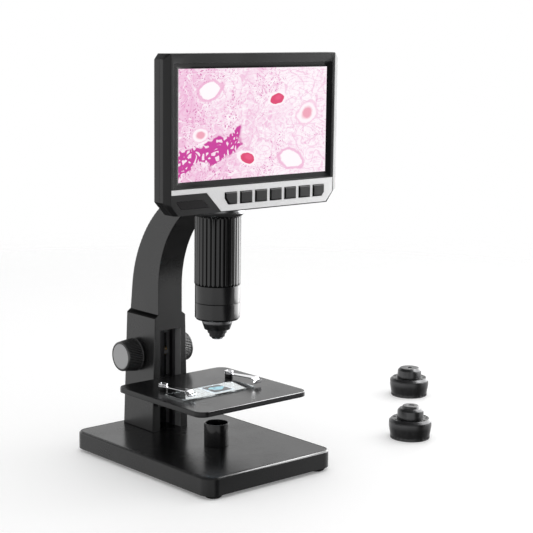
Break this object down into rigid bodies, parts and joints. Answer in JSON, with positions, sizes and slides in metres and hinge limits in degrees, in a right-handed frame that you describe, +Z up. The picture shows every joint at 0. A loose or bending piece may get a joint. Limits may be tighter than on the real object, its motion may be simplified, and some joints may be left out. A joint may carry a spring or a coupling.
{
  "type": "digital microscope",
  "caption": "Bench digital microscope: upright wide screen over a ribbed barrel, curved arm, rack-driven stage with slide clips, lit base, and loose spare objectives beside it.",
  "frame": {"origin": "middle of the base's footprint, on the plane that the rubber feet stand on", "axes": "+Z up, along the optical axis; +X to the right of a user facing the screen; +Y away from the user"},
  "size_m": [0.4133, 0.1856, 0.3468],
  "materials": {
    "black_paint": "satin black powder coat",
    "black_plastic": "satin dark plastic",
    "gloss_black": "smooth glossy dark plastic",
    "silver_trim": "fine-grained silver",
    "disc_metal": "spun light gray disc",
    "key_plastic": "dark gray keys",
    "rubber": "matte rubber",
    "steel": "ground steel",
    "chrome": "polished chrome",
    "brass": "turned brass",
    "machined": "machined and anodised",
    "clear_glass": "polished clear glass",
    "frosted_glass": "frosted white glass",
    "screen": "lit picture behind a glossy sheet",
    "ir_plastic": "dark infrared window",
    "board": "green circuit board",
    "cell": "blue sleeved cell",
    "cable": "black jacket"
  },
  "bodies": {
    "root": {"base_plate": "black_paint", "bottom_cover": "black_plastic", "rubber_feet": "rubber", "case_screws": "steel", "illuminator_tube": "gloss_black", "condenser_lens": "clear_glass", "lamp_board": "board", "battery_pack": "cell", "lamp_cable": "cable", "stand_casting": "black_paint", "stand_rear_cover": "black_plastic", "guide_rails": "machined", "shaft_bushes": "brass", "body_tube": "black_plastic", "collar_ring": "gloss_black", "camera_housing": "black_plastic", "sensor_board": "board", "front_frame": "black_plastic", "fascia_panel": "silver_trim", "button_board": "board", "ir_window": "ir_plastic", "lcd_panel": "screen", "main_board": "board", "rear_cover": "black_plastic", "usb_port": "steel"},
    "stage": {"carriage": "machined", "rack": "brass", "stage_bracket": "black_paint", "bracket_screws": "steel", "stage_plate": "black_paint", "stage_window": "frosted_glass", "clip_posts": "chrome"},
    "left_clip": {"clip_left": "chrome"},
    "right_clip": {"clip_right": "chrome"},
    "specimen": {"glass_slide": "clear_glass", "cover_glass": "clear_glass"},
    "focus_drive": {"pinion_shaft": "steel", "knob_left": "black_plastic", "knob_right": "black_plastic", "knob_discs": "disc_metal"},
    "focus_ring": {"focus_sleeve": "black_plastic"},
    "lens_group": {"lens_carrier": "machined", "focus_lens": "clear_glass"},
    "objective": {"objective_shell": "black_plastic", "objective_face": "black_plastic", "objective_nose": "gloss_black", "objective_lens": "clear_glass"},
    "spare_a": {"spare_a_shell": "black_plastic", "spare_a_face": "black_plastic", "spare_a_nose": "gloss_black"},
    "spare_b": {"spare_b_shell": "black_plastic", "spare_b_face": "black_plastic", "spare_b_nose": "gloss_black"},
    "key_1": {"button_1": "key_plastic"},
    "key_2": {"button_2": "key_plastic"},
    "key_3": {"button_3": "key_plastic"},
    "key_4": {"button_4": "key_plastic"},
    "key_5": {"button_5": "key_plastic"},
    "key_6": {"button_6": "key_plastic"},
    "key_7": {"button_7": "key_plastic"}
  },
  "joints": [
    {"name": "stage_slide", "type": "slide", "parent": "root", "child": "stage", "axis": [0, 0, 1], "range_m": [-0.02, 0.02]},
    {"name": "knob_spin", "type": "hinge", "parent": "root", "child": "focus_drive", "pos_m": [0, 0.0686, 0.0829], "axis": [1, 0, 0], "range_deg": [-191.5, 191.5]},
    {"name": "clip_left_swivel", "type": "hinge", "parent": "stage", "child": "left_clip", "pos_m": [-0.036, 0.007, 0.07], "axis": [0, 0, 1], "range_deg": [-90, 15]},
    {"name": "clip_right_swivel", "type": "hinge", "parent": "stage", "child": "right_clip", "pos_m": [0.036, 0.007, 0.07], "axis": [0, 0, 1], "range_deg": [-15, 90]},
    {"name": "specimen_shift", "type": "slide", "parent": "stage", "child": "specimen", "axis": [1, 0, 0], "range_m": [-0.012, 0.012]},
    {"name": "focus_turn", "type": "hinge", "parent": "root", "child": "focus_ring", "pos_m": [0, -0.02, 0.18], "axis": [0, 0, 1], "range_deg": [-150, 150]},
    {"name": "lens_focus", "type": "slide", "parent": "root", "child": "lens_group", "axis": [0, 0, 1], "range_m": [-0.005, 0.005]},
    {"name": "objective_removal", "type": "slide", "parent": "root", "child": "objective", "axis": [0, 0, -1], "range_m": [0, 0.012]},
    {"name": "spare_a_lift", "type": "slide", "parent": "root", "child": "spare_a", "axis": [0, 0, 1], "range_m": [0, 0.06]},
    {"name": "spare_b_lift", "type": "slide", "parent": "root", "child": "spare_b", "axis": [0, 0, 1], "range_m": [0, 0.06]},
    {"name": "button_1_press", "type": "slide", "parent": "root", "child": "key_1", "axis": [0, 1, 0], "range_m": [0, 0.0008], "stiffness_N_per_m": 400, "springref_m": -0.0005},
    {"name": "button_2_press", "type": "slide", "parent": "root", "child": "key_2", "axis": [0, 1, 0], "range_m": [0, 0.0008], "stiffness_N_per_m": 400, "springref_m": -0.0005},
    {"name": "button_3_press", "type": "slide", "parent": "root", "child": "key_3", "axis": [0, 1, 0], "range_m": [0, 0.0008], "stiffness_N_per_m": 400, "springref_m": -0.0005},
    {"name": "button_4_press", "type": "slide", "parent": "root", "child": "key_4", "axis": [0, 1, 0], "range_m": [0, 0.0008], "stiffness_N_per_m": 400, "springref_m": -0.0005},
    {"name": "button_5_press", "type": "slide", "parent": "root", "child": "key_5", "axis": [0, 1, 0], "range_m": [0, 0.0008], "stiffness_N_per_m": 400, "springref_m": -0.0005},
    {"name": "button_6_press", "type": "slide", "parent": "root", "child": "key_6", "axis": [0, 1, 0], "range_m": [0, 0.0008], "stiffness_N_per_m": 400, "springref_m": -0.0005},
    {"name": "button_7_press", "type": "slide", "parent": "root", "child": "key_7", "axis": [0, 1, 0], "range_m": [0, 0.0008], "stiffness_N_per_m": 400, "springref_m": -0.0005}
  ],
  "couplings": [
    {"joint": "knob_spin", "follows": "stage_slide", "rad_per_m": -166.67},
    {"joint": "focus_turn", "follows": "lens_focus", "rad_per_m": 523.56}
  ]
}
